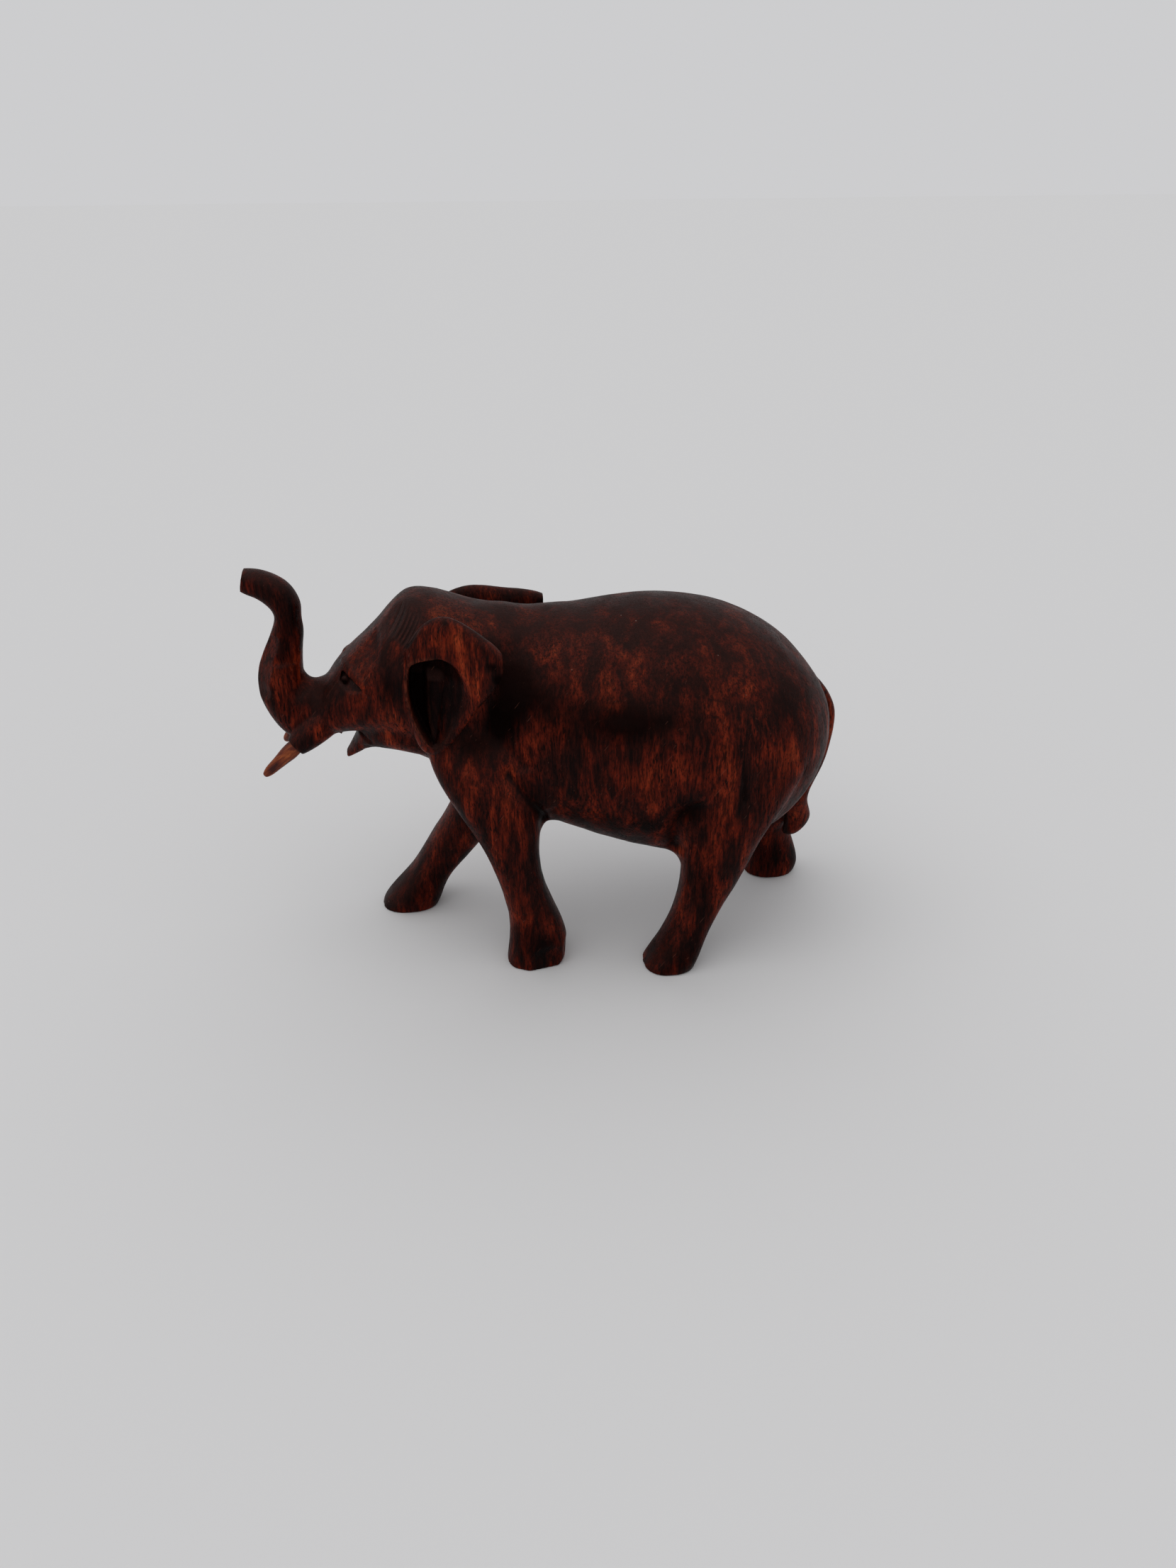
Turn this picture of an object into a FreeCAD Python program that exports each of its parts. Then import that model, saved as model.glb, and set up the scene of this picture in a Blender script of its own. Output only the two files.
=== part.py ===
import FreeCAD, Part
import math
import os
from FreeCAD import Vector

# Carved wooden elephant, walking, trunk raised.
# Frame: +Z up, the head towards -X, the elephant's left side towards -Y.
# The origin is on the ground, below the middle of the body. All sizes in mm.

os.makedirs("parts", exist_ok=True)

# ---------------------------------------------------------------- driving dimensions
RING_POINTS = 24          # points round one carved section

# Roundness of the sections: 2 is an ellipse, more is boxier
ROUND = 2.0
BODY_FULLNESS = 2.2
HEAD_FULLNESS = 2.3
LIMB_FULLNESS = 2.4
EAR_FULLNESS = 2.6

LEFT_TUSK_LENGTH = 7.8    # from the mouth of its socket to the tip
RIGHT_TUSK_LENGTH = 5.6   # the right tusk is shorter and points down more
TUSK_RADIUS = 1.42        # at the socket mouth
TUSK_PEG = 5.0            # how far the root goes into the muzzle
TUSK_CLEARANCE = 0.06     # glue gap all round the root
TUSK_ROOT = (-48.5, 5.1, 47.0)         # socket mouth, |y| on either side
LEFT_TUSK_WAY = (-0.76, 0.24, -0.60)   # forwards, outwards, down
RIGHT_TUSK_WAY = (-0.64, 0.22, -0.735)
TUSK_PEG_SHARE = 0.85     # radius at the end of the peg, as a share of TUSK_RADIUS
# Thickness of the tusk beyond the socket: share of the length, share of the radius
TUSK_TAPER = [
    (0.0, 1.00),
    (0.40, 0.90),
    (0.75, 0.68),
    (0.94, 0.46),
    (1.0, 0.28),
]
# Swelling of the muzzle round each tusk: distance along the tusk from its socket mouth,
# radius
TUSK_SHEATH = [
    (-8.0, 3.2),
    (-4.0, 2.9),
    (-1.2, 2.35),
    (0.0, 1.95),
]

# Sections across the body: x, lowest z, z of the widest point, highest z, half width
TORSO = [
    (-28.0, 43.5, 55.0, 68.5, 7.0),
    (-20.0, 39.0, 54.0, 70.5, 10.0),
    (-11.0, 33.5, 51.0, 70.3, 12.2),
    (-2.0, 28.5, 47.0, 70.0, 15.5),
    (8.0, 24.5, 45.0, 70.6, 18.5),
    (18.0, 21.0, 44.5, 71.2, 20.0),
    (28.0, 19.5, 44.5, 70.1, 20.0),
    (37.0, 21.5, 44.5, 66.8, 18.5),
    (45.0, 27.0, 44.5, 61.0, 15.5),
    (50.0, 34.0, 44.5, 55.0, 10.8),
    (52.4, 39.6, 44.6, 50.0, 5.8),
    (53.1, 43.0, 45.0, 47.0, 2.2),
]
HEAD = [
    (-5.0, 48.0, 57.0, 70.2, 8.5),
    (-12.0, 45.0, 58.0, 71.9, 10.5),
    (-19.0, 44.5, 59.0, 73.6, 12.3),
    (-24.5, 45.0, 59.0, 74.6, 12.5),
    (-28.0, 46.3, 58.0, 73.0, 12.0),
    (-32.0, 48.0, 56.5, 68.8, 10.5),
    (-37.0, 48.8, 55.0, 64.2, 8.6),
    (-41.5, 48.2, 53.0, 59.2, 6.8),
    (-46.0, 48.2, 52.0, 54.6, 4.2),
]
JAW = [
    (-22.0, 42.0, 50.0, 57.0, 10.8),
    (-29.0, 44.6, 50.0, 57.0, 9.8),
    (-33.0, 45.1, 49.5, 54.5, 8.0),
    (-36.0, 44.2, 47.4, 50.4, 5.0),
    (-38.2, 42.8, 44.3, 46.2, 2.6),
    (-39.8, 41.9, 42.5, 43.4, 1.1),
]

# Sections across the trunk: x, z, direction of travel above the horizontal in degrees,
# half thickness, half width
TRUNK = [
    (-40.0, 52.5, 0.0, 4.6, 6.2),
    (-45.2, 51.8, 20.0, 5.0, 5.4),
    (-49.2, 54.8, 55.0, 4.6, 4.8),
    (-50.1, 59.2, 92.0, 4.1, 4.2),
    (-49.0, 64.0, 104.0, 3.3, 3.6),
    (-47.6, 68.3, 102.0, 2.7, 3.1),
    (-47.3, 71.8, 75.0, 2.6, 2.9),
    (-49.0, 75.0, 48.0, 2.7, 2.8),
    (-51.3, 76.6, 32.0, 2.5, 2.7),
    (-54.6, 77.6, 12.0, 2.0, 2.3),
]

# Level sections of the legs, from the sole up: z, front x, back x, inner |y|, outer |y|
LEFT_FRONT_LEG = [
    (0.0, -11.5, -0.3, 6.0, 16.5),
    (4.0, -11.0, 0.6, 6.0, 16.5),
    (10.0, -10.8, -0.8, 6.5, 16.0),
    (17.0, -11.8, -3.2, 7.0, 15.8),
    (23.0, -13.8, -4.3, 6.0, 16.0),
    (30.0, -17.0, -4.0, 4.0, 16.0),
    (38.0, -21.5, -2.0, 2.0, 15.5),
    (46.0, -24.3, 0.0, 2.0, 13.5),
    (56.0, -20.0, -3.0, 3.0, 11.0),
]
RIGHT_FRONT_LEG = [
    (0.0, -37.2, -25.3, 6.5, 17.0),
    (3.5, -35.0, -23.8, 6.5, 17.0),
    (8.0, -31.2, -21.4, 7.0, 16.5),
    (14.0, -27.2, -16.4, 7.0, 16.0),
    (20.0, -23.6, -12.5, 6.0, 16.0),
    (30.0, -20.0, -6.0, 4.0, 15.8),
    (38.0, -21.0, -2.0, 2.0, 15.0),
    (46.0, -23.5, 0.0, 2.0, 13.5),
    (56.0, -20.0, -3.0, 3.0, 11.0),
]
LEFT_REAR_LEG = [
    (0.0, 15.4, 25.8, 10.5, 21.0),
    (4.0, 17.8, 27.2, 10.5, 21.0),
    (9.0, 20.2, 29.0, 10.8, 20.0),
    (16.0, 22.4, 32.4, 9.5, 19.6),
    (23.0, 23.0, 36.0, 7.0, 19.8),
    (31.0, 22.0, 40.5, 4.0, 19.8),
    (39.0, 22.0, 45.5, 3.0, 19.0),
    (48.0, 24.0, 48.0, 3.0, 16.5),
    (57.0, 28.0, 45.0, 3.0, 12.0),
]
RIGHT_REAR_LEG = [
    (0.0, 43.2, 54.2, 11.0, 21.0),
    (4.0, 43.6, 54.8, 11.0, 21.0),
    (9.0, 42.6, 53.2, 11.3, 20.4),
    (16.0, 40.0, 52.0, 9.5, 19.8),
    (23.0, 35.0, 51.0, 7.0, 19.8),
    (31.0, 30.0, 50.2, 4.0, 19.6),
    (39.0, 27.0, 49.0, 3.0, 18.5),
    (48.0, 26.0, 48.0, 3.0, 16.0),
    (57.0, 28.0, 45.0, 3.0, 12.0),
]

# The ears are thin flaps: x, lowest z, highest z, |y| of the middle of the flap,
# half thickness
LEFT_EAR = [
    (-26.6, 54.0, 67.0, 11.2, 1.5),
    (-23.6, 47.6, 72.2, 12.2, 1.9),
    (-19.6, 50.4, 74.3, 13.6, 2.0),
    (-15.8, 56.0, 73.0, 15.0, 1.9),
    (-12.5, 60.6, 70.8, 16.4, 1.7),
    (-10.1, 65.0, 68.4, 17.4, 1.2),
]
RIGHT_EAR = [
    (-26.0, 55.0, 65.0, 11.2, 1.5),
    (-22.0, 49.8, 68.0, 12.2, 1.9),
    (-17.0, 51.5, 70.0, 13.4, 2.0),
    (-11.0, 56.0, 69.6, 14.5, 1.9),
    (-5.0, 60.6, 68.2, 15.6, 1.7),
    (-0.8, 65.0, 66.8, 16.4, 1.2),
]
# The scoop in the outer face of each ear is half an egg
EAR_HOLLOW_DEPTH = 1.4
EAR_HOLLOW_LENGTH = 0.62  # half length, as a share of the flap's length
EAR_HOLLOW_HEIGHT = 0.30  # half height, as a share of the flap's height
EAR_HOLLOW_RISE = 0.45    # height of its middle, as a share of the flap's height

# Level sections of the tail, from its root down to the tuft: z, x, y, half x, half y
TAIL = [
    (54.0, 49.2, 0.0, 1.4, 1.7),
    (50.0, 51.9, -0.2, 1.8, 2.0),
    (45.5, 53.2, -0.2, 1.8, 1.9),
    (40.0, 53.3, 0.4, 1.7, 1.7),
    (34.0, 52.8, 1.8, 1.6, 1.6),
    (28.0, 51.6, 3.8, 1.6, 1.6),
    (24.0, 51.0, 5.2, 1.9, 1.8),
    (20.5, 51.6, 6.6, 2.4, 2.0),
    (17.0, 51.9, 7.6, 2.4, 2.0),
    (13.8, 50.6, 8.2, 1.3, 1.3),
]


# ---------------------------------------------------------------- building blocks
def squared(value, fullness):
    """One coordinate of a superellipse: fullness 2 is a circle, more is boxier."""
    return math.copysign(abs(value) ** (2.0 / fullness), value)


def ring(centre, across, upwards, half_width, half_up, half_down, fullness):
    """A closed smooth section in the plane of the vectors across and upwards."""
    points = []
    for i in range(RING_POINTS):
        turn = 2.0 * math.pi * i / RING_POINTS
        side = half_width * squared(math.cos(turn), fullness)
        rise = squared(math.sin(turn), fullness)
        rise *= half_up if rise >= 0 else half_down
        points.append(centre + across * side + upwards * rise)
    curve = Part.BSplineCurve()
    curve.interpolate(Points=points, PeriodicFlag=True)
    return Part.Wire([curve.toShape()])


def skin(rings):
    """A solid with a smooth skin through the rings."""
    solid = Part.makeLoft(rings, True, False)
    if solid.Volume < 0:
        solid.reverse()
    return solid


AXIS_X = Vector(1, 0, 0)
AXIS_Y = Vector(0, 1, 0)
AXIS_Z = Vector(0, 0, 1)


def cross_section_form(sections, fullness):
    """Torso, head and jaw: upright sections along the body."""
    rings = []
    for x, low, widest, high, half_width in sections:
        centre = Vector(x, 0, widest)
        rings.append(ring(centre, AXIS_Y, AXIS_Z, half_width, high - widest, widest - low, fullness))
    return skin(rings)


def trunk_form(sections):
    """The trunk: sections square to a path that curls up in the plane y = 0."""
    rings = []
    for x, z, climb, half_thick, half_width in sections:
        angle = math.radians(climb)
        over = Vector(math.sin(angle), 0, math.cos(angle))
        rings.append(ring(Vector(x, 0, z), AXIS_Y, over, half_width, half_thick, half_thick,
                          LIMB_FULLNESS))
    return skin(rings)


def leg_form(sections, side):
    """A leg: level sections from the flat sole up into the body."""
    rings = []
    for z, front, back, inner, outer in sections:
        centre = Vector((front + back) / 2, side * (inner + outer) / 2, z)
        half_y = (outer - inner) / 2
        rings.append(ring(centre, AXIS_X, AXIS_Y, (back - front) / 2, half_y, half_y,
                          LIMB_FULLNESS))
    return skin(rings)


def ear_form(sections, side):
    """An ear: a thin flap that stands further out towards its rear edge."""
    rings = []
    for x, low, high, out, half_thick in sections:
        centre = Vector(x, side * out, (low + high) / 2)
        half_z = (high - low) / 2
        rings.append(ring(centre, AXIS_Y, AXIS_Z, half_thick, half_z, half_z, EAR_FULLNESS))
    return skin(rings)


def tail_form(sections):
    """The tail, which lies against the rump and ends in a leaf-shaped tuft."""
    rings = []
    for z, x, y, half_x, half_y in sections:
        rings.append(ring(Vector(x, y, z), AXIS_X, AXIS_Y, half_x, half_y, half_y, BODY_FULLNESS))
    return skin(rings)


def ear_hollow(sections, side):
    """The scoop in the outer face of an ear: an egg lying along the flap."""
    first, last = sections[1], sections[3]
    length = last[0] - first[0]
    low = min(row[1] for row in sections)
    high = max(row[2] for row in sections)
    egg = Part.makeSphere(1.0)
    stretch = FreeCAD.Matrix()
    half_length = length * EAR_HOLLOW_LENGTH
    half_height = (high - low) * EAR_HOLLOW_HEIGHT
    stretch.scale(half_length, EAR_HOLLOW_DEPTH * 2, half_height)
    egg = egg.transformGeometry(stretch)
    lean = math.degrees(math.atan2(last[3] - first[3], length))
    egg.rotate(Vector(0, 0, 0), AXIS_Z, side * lean)
    middle_x = (first[0] + last[0]) / 2
    outer_face = (first[3] + last[3]) / 2 + sections[2][4]
    middle_z = low + (high - low) * EAR_HOLLOW_RISE
    egg.translate(Vector(middle_x, side * (outer_face + EAR_HOLLOW_DEPTH), middle_z))
    return egg


def round_bar(side, stations):
    """A round form along a tusk's line: distance from the socket mouth and radius."""
    root = Vector(TUSK_ROOT[0], side * TUSK_ROOT[1], TUSK_ROOT[2])
    ahead, outwards, up = LEFT_TUSK_WAY if side < 0 else RIGHT_TUSK_WAY
    forward = Vector(ahead, side * outwards, up)
    forward.normalize()
    across = forward.cross(AXIS_Z)
    across.normalize()
    upwards = across.cross(forward)
    rings = []
    for distance, radius in stations:
        rings.append(ring(root + forward * distance, across, upwards, radius, radius, radius, ROUND))
    return skin(rings)


def tusk_form(side, extra=0.0):
    """A tusk with its tapered root. extra widens it and lengthens the root."""
    length = LEFT_TUSK_LENGTH if side < 0 else RIGHT_TUSK_LENGTH
    stations = [(-TUSK_PEG - extra, TUSK_RADIUS * TUSK_PEG_SHARE + extra)]
    for part, share in TUSK_TAPER:
        stations.append((length * part, TUSK_RADIUS * share + extra))
    return round_bar(side, stations)


# ---------------------------------------------------------------- the three pieces
def carved_body():
    """The whole animal but the tusks, cut from one block."""
    torso = cross_section_form(TORSO, BODY_FULLNESS)
    forms = [
        cross_section_form(HEAD, HEAD_FULLNESS),
        cross_section_form(JAW, BODY_FULLNESS),
        trunk_form(TRUNK),
        round_bar(-1, TUSK_SHEATH),
        round_bar(1, TUSK_SHEATH),
        leg_form(LEFT_FRONT_LEG, -1),
        leg_form(RIGHT_FRONT_LEG, 1),
        leg_form(LEFT_REAR_LEG, -1),
        leg_form(RIGHT_REAR_LEG, 1),
        ear_form(LEFT_EAR, -1).cut(ear_hollow(LEFT_EAR, -1)),
        ear_form(RIGHT_EAR, 1).cut(ear_hollow(RIGHT_EAR, 1)),
        tail_form(TAIL),
    ]
    block = torso.multiFuse(forms)
    for side in (-1, 1):
        block = block.cut(tusk_form(side, TUSK_CLEARANCE))
    return block


NODES = {
    "carved_body": carved_body(),
    "left_tusk": tusk_form(-1),
    "right_tusk": tusk_form(1),
}

for name, shape in NODES.items():
    solid = shape.Solids[0]
    print(name, "solids", len(shape.Solids), "volume", round(solid.Volume, 1))
    solid.exportStep("parts/" + name + ".step")
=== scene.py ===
import math

import bpy
import numpy as np
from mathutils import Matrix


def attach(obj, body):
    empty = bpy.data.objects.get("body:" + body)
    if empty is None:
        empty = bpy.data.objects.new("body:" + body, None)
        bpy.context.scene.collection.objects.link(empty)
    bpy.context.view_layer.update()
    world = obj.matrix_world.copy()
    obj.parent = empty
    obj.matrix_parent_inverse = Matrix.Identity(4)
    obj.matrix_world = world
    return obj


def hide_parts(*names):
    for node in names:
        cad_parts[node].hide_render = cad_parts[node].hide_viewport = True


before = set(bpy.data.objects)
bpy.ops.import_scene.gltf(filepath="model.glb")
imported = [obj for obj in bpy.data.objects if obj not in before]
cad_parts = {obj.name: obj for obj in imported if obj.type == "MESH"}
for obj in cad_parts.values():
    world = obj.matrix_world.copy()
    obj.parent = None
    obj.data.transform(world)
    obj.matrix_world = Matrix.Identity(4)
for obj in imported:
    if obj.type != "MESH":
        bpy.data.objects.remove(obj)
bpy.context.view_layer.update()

import openvdb
from mathutils import Matrix, Vector

# A carved wooden elephant. The CAD block gives the form. Here its skin is turned into a
# field of signed distances (negative inside the wood), the field is carved, and the
# result is meshed again. Work on the field is in millimetres, Blender objects in metres.
# The head points to -X, the elephant's left side is -Y, and +Z is up.

MM = 0.001
BODY_VOXEL = 0.26         # mm between the points of the body's field
TUSK_VOXEL = 0.12
BAND = 12                 # field points of true distance kept on each side of the skin
MARGIN = 6                # field points of air kept round each piece
LEFT, RIGHT = -1, 1       # sign of y on each side


# ------------------------------------------------------------------ the carving field
class Block:
    """A piece of wood as signed distances on a regular grid."""

    def __init__(self, node, voxel):
        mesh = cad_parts[node].data
        points = np.empty(len(mesh.vertices) * 3, np.float32)
        mesh.vertices.foreach_get("co", points)
        points = points.reshape(-1, 3) / MM
        mesh.calc_loop_triangles()
        corners = np.empty(len(mesh.loop_triangles) * 3, np.int32)
        mesh.loop_triangles.foreach_get("vertices", corners)
        self.voxel = voxel
        self.transform = openvdb.createLinearTransform(voxelSize=voxel)
        grid = openvdb.FloatGrid.createLevelSetFromPolygons(
            points, triangles=corners.reshape(-1, 3), transform=self.transform, halfWidth=BAND)
        self.reach = float(grid.background)
        self.start = np.floor(points.min(0) / voxel).astype(int) - MARGIN
        end = np.ceil(points.max(0) / voxel).astype(int) + MARGIN
        self.field = np.full(tuple(end - self.start + 1), self.reach, np.float32)
        grid.copyToArray(self.field, ijk=tuple(int(i) for i in self.start))

    def window(self, low, high):
        """The slices of the field inside a box, and the coordinates of its points."""
        size = np.array(self.field.shape)
        first = np.clip(np.floor(np.array(low) / self.voxel).astype(int) - self.start, 0, size - 1)
        last = np.clip(np.ceil(np.array(high) / self.voxel).astype(int) - self.start + 1, 1, size)
        cut = tuple(slice(a, b) for a, b in zip(first, last))
        axes = [(np.arange(a, b) + s) * self.voxel for a, b, s in zip(first, last, self.start)]
        grids = np.meshgrid(*axes, indexing="ij", sparse=True)
        return cut, [g.astype(np.float32) for g in grids]

    def everywhere(self):
        """The window that takes in the whole field."""
        low = self.start * self.voxel
        return self.window(low, low + np.array(self.field.shape) * self.voxel)

    def sample(self, values, points):
        """Values of a whole-grid array at points in mm, blended between the grid's points."""
        place = points / self.voxel - self.start
        base = np.clip(np.floor(place).astype(int), 0, np.array(values.shape) - 2)
        part = np.clip(place - base, 0, 1)
        total = np.zeros(len(points))
        for dx in (0, 1):
            for dy in (0, 1):
                for dz in (0, 1):
                    weight = abs(1 - dx - part[:, 0]) * abs(1 - dy - part[:, 1])
                    weight = weight * abs(1 - dz - part[:, 2])
                    total += weight * values[base[:, 0] + dx, base[:, 1] + dy, base[:, 2] + dz]
        return total

    def mesh(self, name):
        """A mesh object of the field's skin, in metres."""
        grid = openvdb.FloatGrid(self.reach)
        grid.transform = self.transform
        grid.gridClass = openvdb.GridClass.LEVEL_SET
        grid.copyFromArray(self.field, ijk=tuple(int(i) for i in self.start))
        points, quads = grid.convertToQuads(isovalue=0.0)
        mesh = bpy.data.meshes.new(name)
        mesh.vertices.add(len(points))
        mesh.vertices.foreach_set("co", (points * MM).astype(np.float32).ravel())
        mesh.loops.add(quads.size)
        mesh.loops.foreach_set("vertex_index", quads[:, ::-1].astype(np.int32).ravel())
        mesh.polygons.add(len(quads))
        mesh.polygons.foreach_set("loop_start", np.arange(0, quads.size, 4, dtype=np.int32))
        mesh.update(calc_edges=True)
        mesh.validate()
        mesh.shade_smooth()
        piece = bpy.data.objects.new(name, mesh)
        bpy.context.scene.collection.objects.link(piece)
        return piece


def smooth_max(a, b, blend):
    """The larger of two fields, with the crease between them rounded over the blend."""
    mix = np.clip(0.5 + (a - b) / (2 * blend), 0, 1)
    return b + (a - b) * mix + blend * mix * (1 - mix)


def smooth_min(a, b, blend):
    """The smaller of two fields, rounded in the same way."""
    return -smooth_max(-a, -b, blend)


def ease(x, low, high):
    """0 below low, 1 above high, smooth between."""
    t = np.clip((x - low) / (high - low), 0, 1)
    return t * t * (3 - 2 * t)


def box_blur(values, half, axis):
    """The mean over a run of 2 * half + 1 grid points along one axis."""
    width = 2 * half + 1
    pad = [(0, 0)] * 3
    pad[axis] = (half + 1, half)
    total = np.cumsum(np.pad(values, pad, mode="edge"), axis=axis, dtype=np.float64)
    upper = np.take(total, np.arange(width, total.shape[axis]), axis=axis)
    lower = np.take(total, np.arange(0, total.shape[axis] - width), axis=axis)
    return ((upper - lower) / width).astype(np.float32)


def blurred(block, reach):
    """The block's field after three box passes along each axis, each reaching so many mm."""
    values, half = block.field, round(reach / block.voxel)
    for axis in range(3):
        for _ in range(3):
            values = box_blur(values, half, axis)
    return values


def lattice_noise(shape, cell, seed):
    """Smooth random values between -1 and 1 on a grid, with the cell size in grid points."""
    rng = np.random.default_rng(seed)
    values = rng.uniform(-1, 1, [int(n / cell) + 3 for n in shape]).astype(np.float32)
    for axis, n in enumerate(shape):
        place = np.arange(n) / cell
        base = place.astype(int)
        part = (place - base).astype(np.float32)
        part = part * part * (3 - 2 * part)
        form = [1, 1, 1]
        form[axis] = n
        part = part.reshape(form)
        before = np.take(values, base, axis=axis)
        after = np.take(values, base + 1, axis=axis)
        values = before * (1 - part) + after * part
    return values


# ------------------------------------------------------------------ carving tools
def distance_to_path(a, b, path):
    """Distance in a plane from each grid point to a run of straight pieces, and how far along."""
    best, along = None, None
    steps = len(path) - 1
    for i, ((a0, b0), (a1, b1)) in enumerate(zip(path, path[1:])):
        da, db = a1 - a0, b1 - b0
        t = np.clip(((a - a0) * da + (b - b0) * db) / (da * da + db * db), 0, 1)
        d = np.sqrt((a - a0 - t * da) ** 2 + (b - b0 - t * db) ** 2)
        if best is None:
            best, along = d, t / steps
        else:
            along = np.where(d < best, (i + t) / steps, along)
            best = np.minimum(best, d)
    return best, along


def curve(points, closed=False, steps=6):
    """A smooth run of points through the given ones."""
    pts = [np.array(p, float) for p in points]
    if closed:
        pts = pts[-1:] + pts + pts[:2]
    else:
        pts = [2 * pts[0] - pts[1]] + pts + [2 * pts[-1] - pts[-2]]
    out = []
    for p0, p1, p2, p3 in zip(pts, pts[1:], pts[2:], pts[3:]):
        for k in range(steps):
            t = k / steps
            out.append(0.5 * (2 * p1 + (p2 - p0) * t + (2 * p0 - 5 * p1 + 4 * p2 - p3) * t * t
                              + (3 * p1 - p0 - 3 * p2 + p3) * t ** 3))
    out.append(pts[-2])
    return [tuple(p) for p in out]


def depth_inside(a, b, outline):
    """Distance in a plane from a closed outline, positive inside it."""
    d, _ = distance_to_path(a, b, outline)
    inside = np.zeros(d.shape, bool)
    for (a0, b0), (a1, b1) in zip(outline, outline[1:]):
        if b0 != b1:
            inside ^= ((b0 > b) != (b1 > b)) & (a < a0 + (b - b0) * (a1 - a0) / (b1 - b0))
    return np.where(inside, d, -d)


def engrave(block, side, path, width, depth, y_range=(0.0, 24.0)):
    """Cuts a soft groove into one flank along a path of (x, z). A negative depth raises a ridge.
    The groove fades in and out at its ends."""
    run = curve(path)
    xs, zs = [p[0] for p in run], [p[1] for p in run]
    margin = width * 2.5
    near, far = sorted((side * y_range[0], side * y_range[1]))
    cut, (x, _, z) = block.window((min(xs) - margin, near, min(zs) - margin),
                                  (max(xs) + margin, far, max(zs) + margin))
    d, along = distance_to_path(x, z, run)
    fade = ease(along, 0.0, 0.15) * (1 - ease(along, 0.85, 1.0))
    block.field[cut] += (depth * np.exp(-(d / width) ** 2) * fade).astype(np.float32)


def tube(points, radii, x, y, z):
    """Distance to a round bar through the points, with a radius at each."""
    best = None
    for p, q, r0, r1 in zip(points, points[1:], radii, radii[1:]):
        d = [q[i] - p[i] for i in range(3)]
        length = sum(c * c for c in d)
        px, py, pz = x - p[0], y - p[1], z - p[2]
        t = np.clip((px * d[0] + py * d[1] + pz * d[2]) / length, 0, 1)
        away = np.sqrt((px - t * d[0]) ** 2 + (py - t * d[1]) ** 2 + (pz - t * d[2]) ** 2)
        away = away - (r0 + (r1 - r0) * t)
        best = away if best is None else np.minimum(best, away)
    return best


def add_tube(block, points, radii, blend):
    """Adds a round bar of wood, blended into what it touches."""
    margin = max(radii) + 2 * blend + 1
    low = [min(p[i] for p in points) - margin for i in range(3)]
    high = [max(p[i] for p in points) + margin for i in range(3)]
    cut, (x, y, z) = block.window(low, high)
    block.field[cut] = smooth_min(block.field[cut], tube(points, radii, x, y, z), blend)


RUN_OUT = (4.0, 5.0)      # a cut rises by the second over the first, in mm, at its box's sides
RELEASE_RISE = 6.0        # and by this much between the two heights of its release


def cut_plane(block, point, normal, low, high, blend=0.12, release=None):
    """Pares the wood flat beyond a plane, inside a box. The cut runs out towards the box's
    sides, and between the two heights of release."""
    n = np.array(normal, float) / np.linalg.norm(normal)
    cut, (x, y, z) = block.window(low, high)
    beyond = (x - point[0]) * n[0] + (y - point[1]) * n[1] + (z - point[2]) * n[2]
    for axis, a, b in zip((x, y, z), low, high):
        beyond = beyond - RUN_OUT[1] * (1 - ease(np.minimum(axis - a, b - axis), 0.0, RUN_OUT[0]))
    if release:
        beyond = beyond - RELEASE_RISE * ease(z, *release)
    block.field[cut] = smooth_max(block.field[cut], beyond.astype(np.float32), blend)


# ------------------------------------------------------------------ the animal's features
TIGHT_FILL, WIDE_FILL = 0.6, 1.8      # mm that a crease's filling reaches
NAPE_BLEND = 2.2                      # mm over which head and neck are blended
CROWN_DROP = 0.5                      # mm pared off the top of the head


def fill_creases(block):
    """Rounds the inner corners where the forms meet, wide at the limbs and tight at the
    ears and mouth. Outer edges keep their shape."""
    _, (x, _, z) = block.everywhere()
    tight = blurred(block, TIGHT_FILL)
    wide = blurred(block, WIDE_FILL)
    near_head = (1 - ease(x, -9.0, -3.0)) * ease(z, 36.0, 44.0) * ease(x, -43.5, -40.0)
    mixed = wide * (1 - near_head) + tight * near_head
    block.field = np.minimum(block.field, mixed)


def smooth_crown(block):
    """Blends the back of the head into the neck and pares the head's top a little."""
    _, (x, y, z) = block.everywhere()
    nape = ease(x, -17.0, -11.0) * (1 - ease(x, -1.0, 5.0)) * ease(z, 62.0, 66.0)
    nape = nape * (1 - ease(np.abs(y), 8.0, 11.0))
    block.field += (blurred(block, NAPE_BLEND) - block.field) * nape
    crown = ease(x, -28.0, -22.0) * (1 - ease(x, -7.0, 0.0)) * ease(z, 67.0, 71.0)
    crown = crown * (1 - ease(np.abs(y), 7.0, 12.0))
    block.field += CROWN_DROP * crown


# Each ear's flap: x and |y| of its middle plane at the front and rear, and how its hollow
# is stretched from the left ear's pattern
EARS = {
    LEFT: {"front": (-26.6, 11.2), "rear": (-10.1, 17.4), "long": 1.0, "tall": 1.0},
    RIGHT: {"front": (-26.0, 11.2), "rear": (-0.8, 16.4), "long": 1.28, "tall": 0.82},
}
EAR_FOOT = 49.8           # z of the lowest point of both flaps
EAR_FACE = 1.4            # from the flap's middle plane to its flat outer face
HOLLOW_FRONT = [(49.3, 3.5), (50.6, 2.4), (53.2, 1.2), (56.2, 0.2), (59.6, -0.2), (63.3, 0.1),
                (65.4, 1.0), (66.7, 4.3)]        # z, distance behind the flap's front edge
HOLLOW_REAR = [(49.3, 4.0), (50.0, 5.0), (52.2, 6.5), (55.9, 8.3), (59.0, 9.5), (62.0, 9.9), (65.2, 9.0),
               (66.9, 6.8)]


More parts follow.
